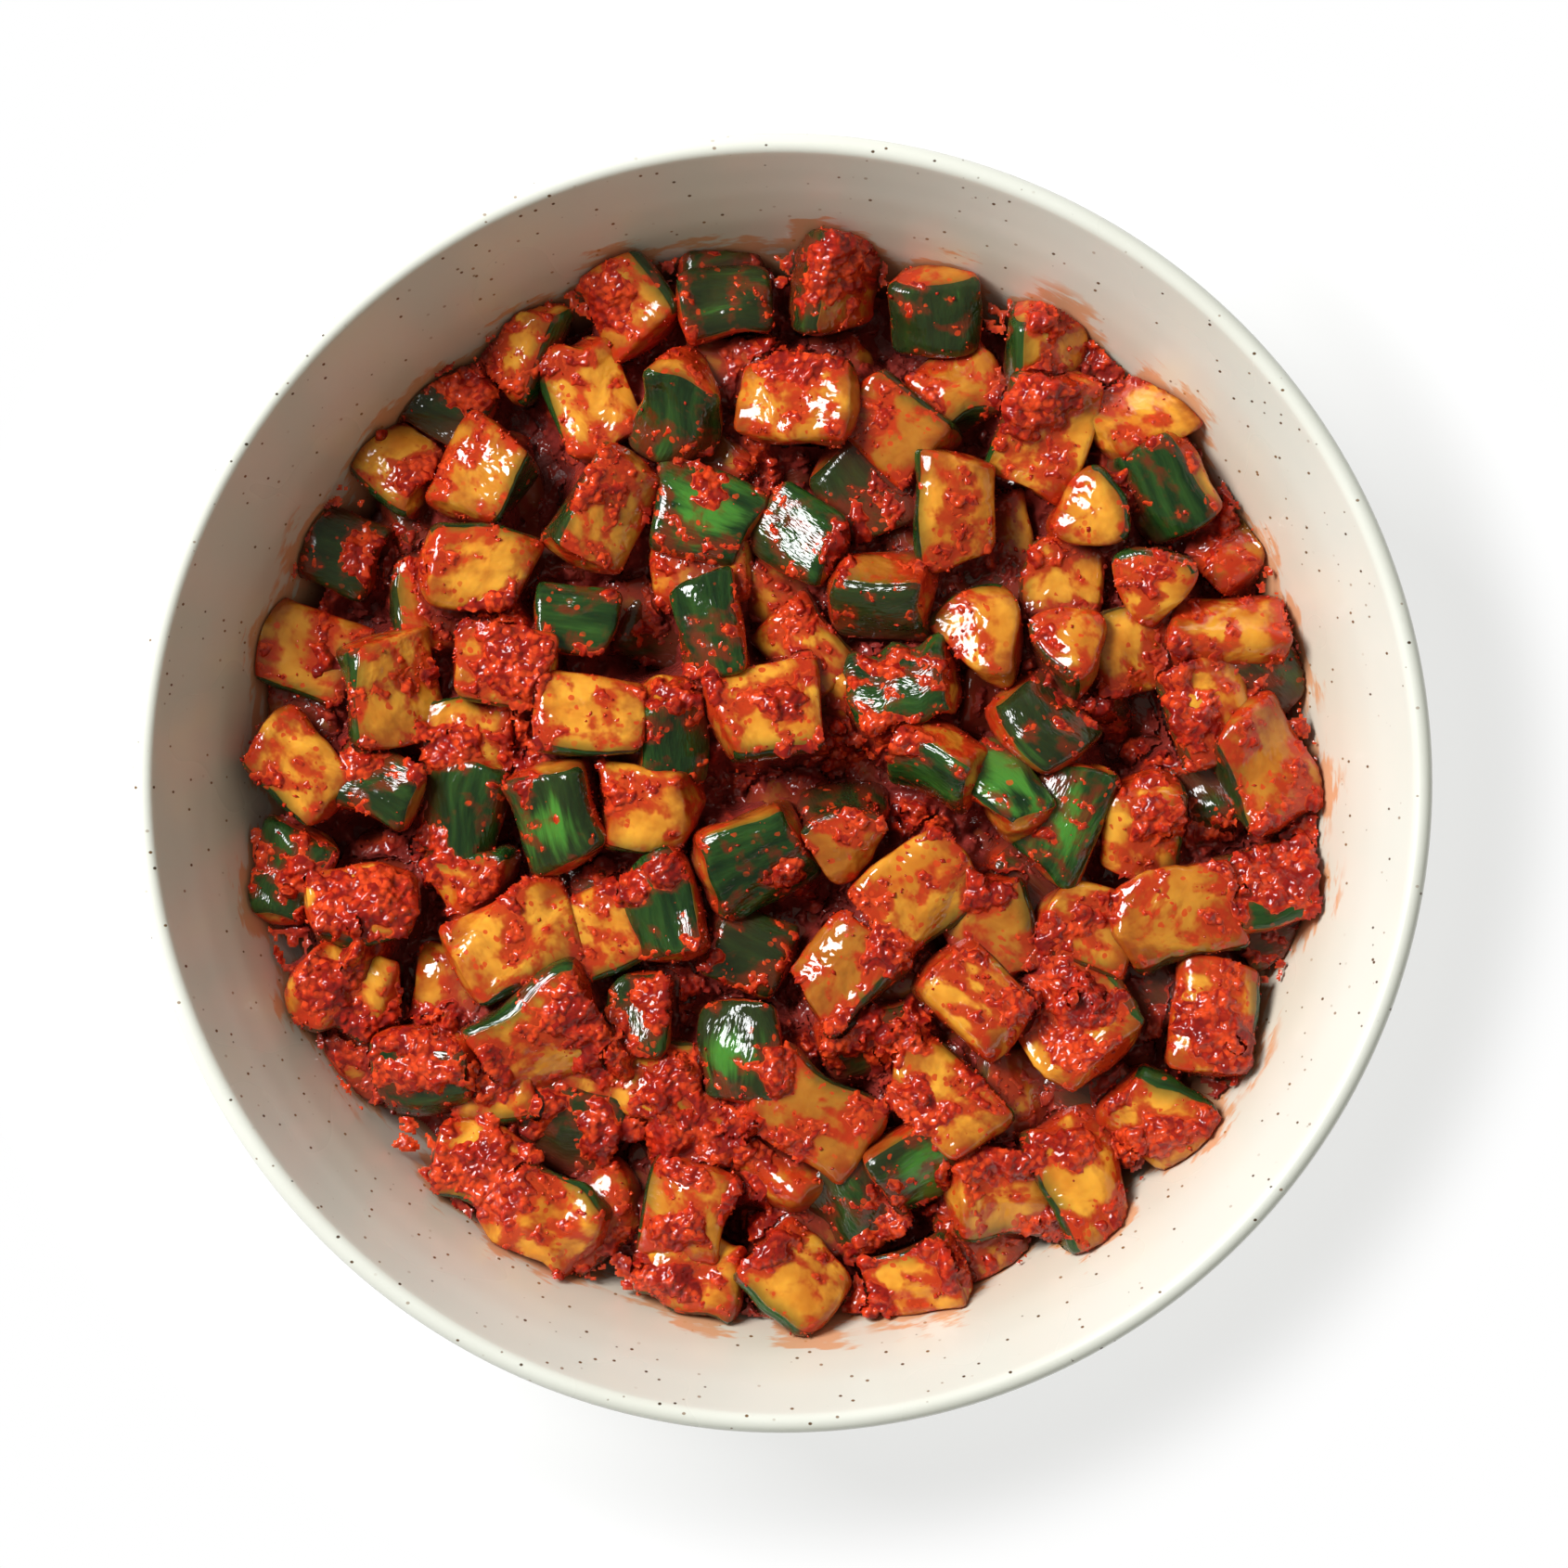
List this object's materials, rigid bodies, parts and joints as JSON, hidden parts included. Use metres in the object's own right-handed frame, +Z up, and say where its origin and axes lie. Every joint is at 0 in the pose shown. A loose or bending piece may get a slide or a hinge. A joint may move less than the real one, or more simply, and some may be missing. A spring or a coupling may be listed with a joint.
{
  "type": "bowl of cucumber kimchi",
  "caption": "Round speckled stoneware serving bowl with a foot ring and a rounded lip, filled with a heap of diced cucumber kimchi in coarse red chilli paste.",
  "frame": {"origin": "middle of the foot ring, on the surface that the bowl stands on", "axes": "+Z up along the bowl's axis; +X to the right and +Y away, seen from above"},
  "size_m": [0.2658, 0.2658, 0.0839],
  "materials": {
    "glaze": "satin off-white stoneware glaze with small brown speckles",
    "kimchi": "wet cucumber flesh stained orange, dark green skin and glossy red chilli paste"
  },
  "bodies": {
    "root": {"bowl": "glaze", "cucumber_kimchi": "kimchi"}
  },
  "joints": []
}
